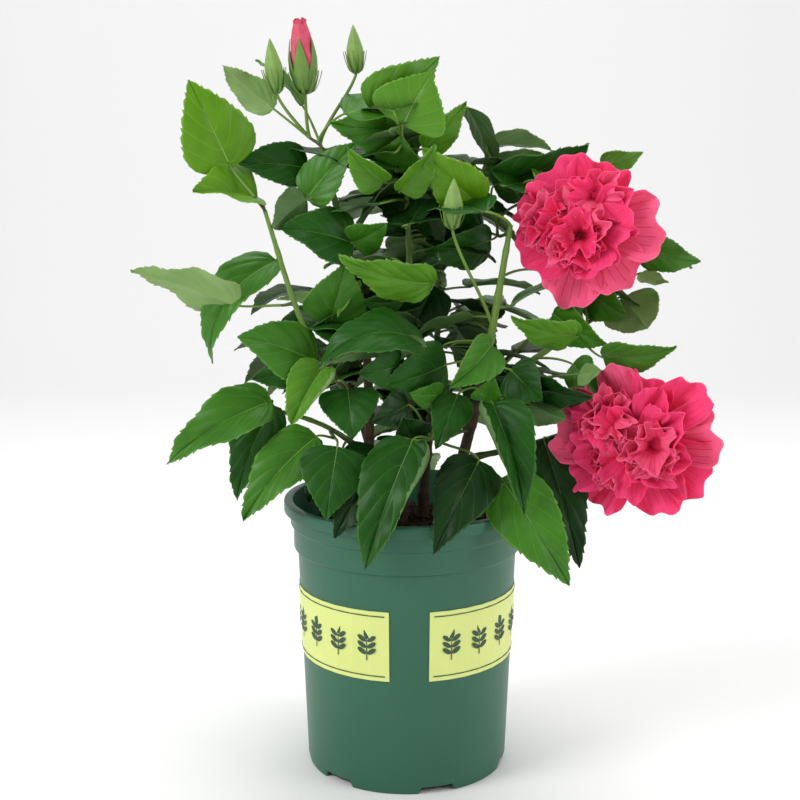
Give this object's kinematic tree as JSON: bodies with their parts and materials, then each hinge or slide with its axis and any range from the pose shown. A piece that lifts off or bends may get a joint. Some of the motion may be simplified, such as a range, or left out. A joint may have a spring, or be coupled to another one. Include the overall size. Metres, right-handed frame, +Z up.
{
  "type": "potted hibiscus shrub",
  "caption": "Young double-flowered hibiscus shrub with toothed leaves, open pink blooms and buds, standing in its green plastic nursery pot.",
  "frame": {"origin": "centre of the pot's flat underside, on the surface the pot stands on", "axes": "+Z up along the pot's axis; +X to the right and -Y towards a viewer at the front, where the two open blooms face and the gap between the two printed bands is"},
  "size_m": [0.4014, 0.2473, 0.53],
  "materials": {
    "pot": "dark green blow-moulded plastic, fine satin grain, a little dusty at the foot",
    "soil": "dark moist bark and peat compost, coarse and crumbly",
    "band_right": "pale yellow-green printed film with a darker border line",
    "band_left": "pale yellow-green printed film with a darker border line",
    "stem_left": "grey-brown young bark, greener above",
    "stem_centre": "grey-brown young bark, greener above",
    "stem_right": "grey-brown young bark, greener above",
    "stem_back": "grey-brown young bark, greener above",
    "stem_back_left": "grey-brown young bark, greener above",
    "bough_left": "green young bark",
    "bough_low_left": "green young bark",
    "bough_right": "green young bark",
    "bough_low_right": "green young bark",
    "bough_back_right": "green young bark",
    "bloom_upper": "thin soft hot-pink petals with darker veins and paler rims",
    "bloom_lower": "thin soft hot-pink petals with darker veins and paler rims",
    "bud_opening": "green calyx, petals showing at the point",
    "bud_left": "green calyx, petals showing at the point",
    "bud_top": "green calyx, petals showing at the point",
    "bud_right": "green calyx, petals showing at the point",
    "leaves_top": "bright yellow-green young leaves",
    "leaves_top_left": "dark glossy green toothed leaves, grey-green beneath",
    "leaves_left_flag": "bright yellow-green young leaves",
    "leaves_left_tip": "bright yellow-green young leaves",
    "leaves_by_buds": "bright yellow-green young leaves",
    "leaves_far_left": "bright yellow-green young leaves",
    "leaves_far_left_droop": "dark glossy green toothed leaves, grey-green beneath",
    "leaves_mid_left": "dark glossy green toothed leaves, grey-green beneath",
    "leaves_low_left": "dark glossy green toothed leaves, grey-green beneath",
    "leaves_low_left_droop": "dark glossy green toothed leaves, grey-green beneath",
    "leaves_rim_left": "dark glossy green toothed leaves, grey-green beneath",
    "leaves_middle": "dark glossy green toothed leaves, grey-green beneath",
    "leaves_low_middle": "dark glossy green toothed leaves, grey-green beneath",
    "leaves_rim_front": "dark glossy green toothed leaves, grey-green beneath",
    "leaves_rim_front_right": "dark glossy green toothed leaves, grey-green beneath",
    "leaves_upper_right": "dark glossy green toothed leaves, grey-green beneath",
    "leaves_high_right": "dark glossy green toothed leaves, grey-green beneath",
    "leaves_behind_bloom": "dark glossy green toothed leaves, grey-green beneath",
    "leaves_right_wing": "dark glossy green toothed leaves, grey-green beneath",
    "leaves_right": "dark glossy green toothed leaves, grey-green beneath",
    "leaves_right_shelf": "dark glossy green toothed leaves, grey-green beneath",
    "leaves_low_right": "dark glossy green toothed leaves, grey-green beneath",
    "leaves_low_right_droop": "dark glossy green toothed leaves, grey-green beneath",
    "leaves_rim_right": "dark glossy green toothed leaves, grey-green beneath",
    "leaves_rim_right_side": "dark glossy green toothed leaves, grey-green beneath",
    "leaves_back_top": "dark glossy green toothed leaves, grey-green beneath",
    "leaves_back_left": "dark glossy green toothed leaves, grey-green beneath",
    "leaves_back_right": "dark glossy green toothed leaves, grey-green beneath",
    "leaves_back_low": "dark glossy green toothed leaves, grey-green beneath"
  },
  "bodies": {
    "root": {"pot": "pot", "soil": "soil", "band_right": "band_right", "band_left": "band_left", "stem_left": "stem_left", "stem_centre": "stem_centre", "stem_right": "stem_right", "stem_back": "stem_back", "stem_back_left": "stem_back_left", "bough_left": "bough_left", "bough_low_left": "bough_low_left", "bough_right": "bough_right", "bough_low_right": "bough_low_right", "bough_back_right": "bough_back_right", "leaves_top": "leaves_top", "leaves_top_left": "leaves_top_left", "leaves_left_flag": "leaves_left_flag", "leaves_left_tip": "leaves_left_tip", "leaves_by_buds": "leaves_by_buds", "leaves_far_left": "leaves_far_left", "leaves_far_left_droop": "leaves_far_left_droop", "leaves_mid_left": "leaves_mid_left", "leaves_low_left": "leaves_low_left", "leaves_low_left_droop": "leaves_low_left_droop", "leaves_rim_left": "leaves_rim_left", "leaves_middle": "leaves_middle", "leaves_low_middle": "leaves_low_middle", "leaves_rim_front": "leaves_rim_front", "leaves_rim_front_right": "leaves_rim_front_right", "leaves_upper_right": "leaves_upper_right", "leaves_high_right": "leaves_high_right", "leaves_behind_bloom": "leaves_behind_bloom", "leaves_right_wing": "leaves_right_wing", "leaves_right": "leaves_right", "leaves_right_shelf": "leaves_right_shelf", "leaves_low_right": "leaves_low_right", "leaves_low_right_droop": "leaves_low_right_droop", "leaves_rim_right": "leaves_rim_right", "leaves_rim_right_side": "leaves_rim_right_side", "leaves_back_top": "leaves_back_top", "leaves_back_left": "leaves_back_left", "leaves_back_right": "leaves_back_right", "leaves_back_low": "leaves_back_low", "bloom_upper": "bloom_upper", "bloom_lower": "bloom_lower", "bud_opening": "bud_opening", "bud_left": "bud_left", "bud_top": "bud_top", "bud_right": "bud_right"}
  },
  "joints": []
}
